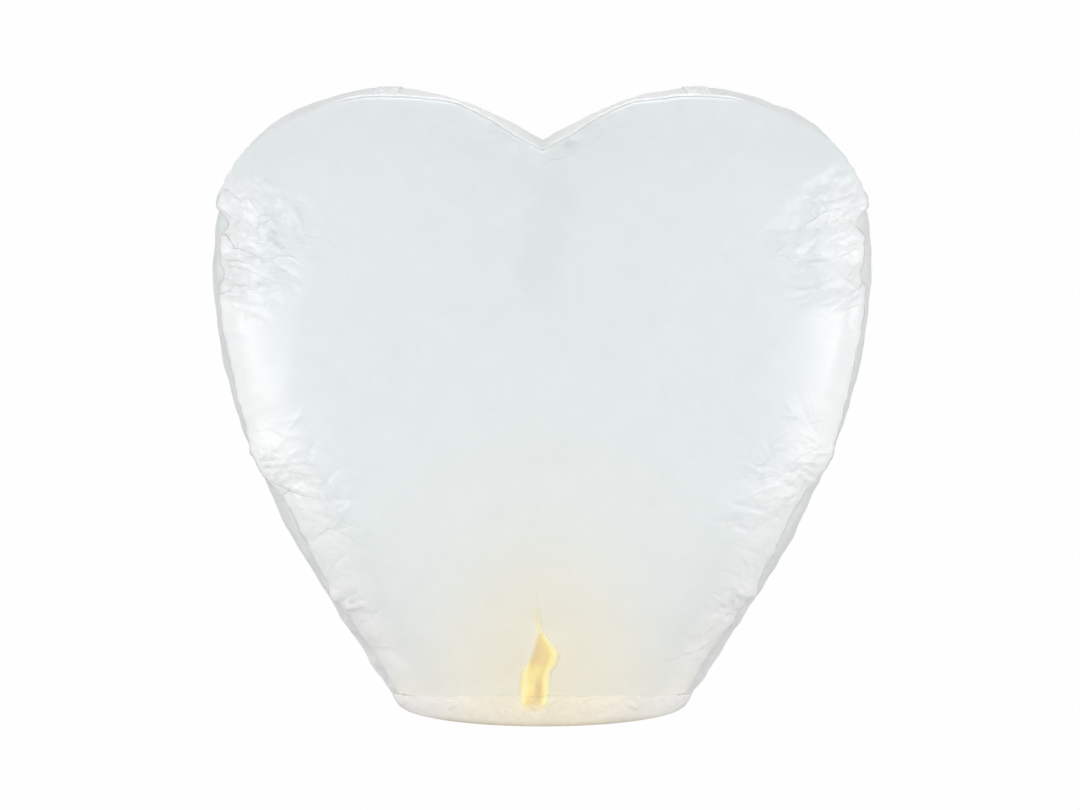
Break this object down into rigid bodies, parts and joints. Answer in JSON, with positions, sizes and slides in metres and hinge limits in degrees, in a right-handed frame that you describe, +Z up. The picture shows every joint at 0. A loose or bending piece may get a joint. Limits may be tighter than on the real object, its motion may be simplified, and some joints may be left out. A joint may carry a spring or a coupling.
{
  "type": "sky lantern",
  "caption": "Heart-shaped white paper sky lantern: crowned front and back sheets joined by a side strip over a bamboo hoop, with cross wires carrying a waxed fuel cell at the mouth.",
  "frame": {"origin": "centre of the mouth, on the plane of the hem's bottom fold", "axes": "+Z up through the cleft, +X to the right seen from the front, -Y out of the front panel"},
  "size_m": [0.8714, 0.4104, 0.8179],
  "materials": {
    "tissue_paper": "thin translucent white tissue, creased from packing, slight sheen",
    "bamboo": "split bamboo strip, raw",
    "binding_thread": "waxed cotton thread, matt",
    "steel_wire": "thin galvanised wire, dull",
    "waxed_pad": "wax-soaked fibre board, slightly glossy"
  },
  "bodies": {
    "hoop_frame": {"gusset_left": "tissue_paper", "gusset_right": "tissue_paper", "gusset_top": "tissue_paper", "join_patch_left": "tissue_paper", "join_patch_right": "tissue_paper", "hem_front": "tissue_paper", "hem_back": "tissue_paper", "bamboo_hoop": "bamboo", "hoop_binding_1": "binding_thread", "hoop_binding_2": "binding_thread", "cross_wire_a": "steel_wire", "cross_wire_b": "steel_wire", "retainer_wire": "steel_wire"},
    "front_sheet": {"front_panel": "tissue_paper"},
    "back_sheet": {"back_panel": "tissue_paper"},
    "fuel_cell": {"fuel_pad_1": "waxed_pad", "fuel_pad_2": "waxed_pad", "fuel_pad_3": "waxed_pad", "fuel_pad_4": "waxed_pad"},
    "tail_left": {"wire_tail_left": "steel_wire"},
    "tail_right": {"wire_tail_right": "steel_wire"}
  },
  "joints": [
    {"name": "envelope_flatten", "type": "slide", "parent": "hoop_frame", "child": "front_sheet", "axis": [0, 1, 0], "range_m": [0, 0.135], "deforming": ["front_panel", "gusset_left", "gusset_right", "gusset_top", "join_patch_left", "join_patch_right"]},
    {"name": "envelope_flatten_back", "type": "slide", "parent": "hoop_frame", "child": "back_sheet", "axis": [0, -1, 0], "range_m": [0, 0.135], "deforming": ["back_panel"]},
    {"name": "fuel_cell_lift", "type": "slide", "parent": "hoop_frame", "child": "fuel_cell", "axis": [0, 0, 1], "range_m": [0, 0.06]},
    {"name": "tail_left_bend", "type": "hinge", "parent": "hoop_frame", "child": "tail_left", "pos_m": [-0.004, 0, 0.0156], "axis": [0, -1, 0], "range_deg": [0, 90]},
    {"name": "tail_right_bend", "type": "hinge", "parent": "hoop_frame", "child": "tail_right", "pos_m": [0.004, 0, 0.0156], "axis": [0, 1, 0], "range_deg": [0, 90]}
  ],
  "couplings": [
    {"joint": "envelope_flatten_back", "follows": "envelope_flatten", "ratio": 1}
  ]
}
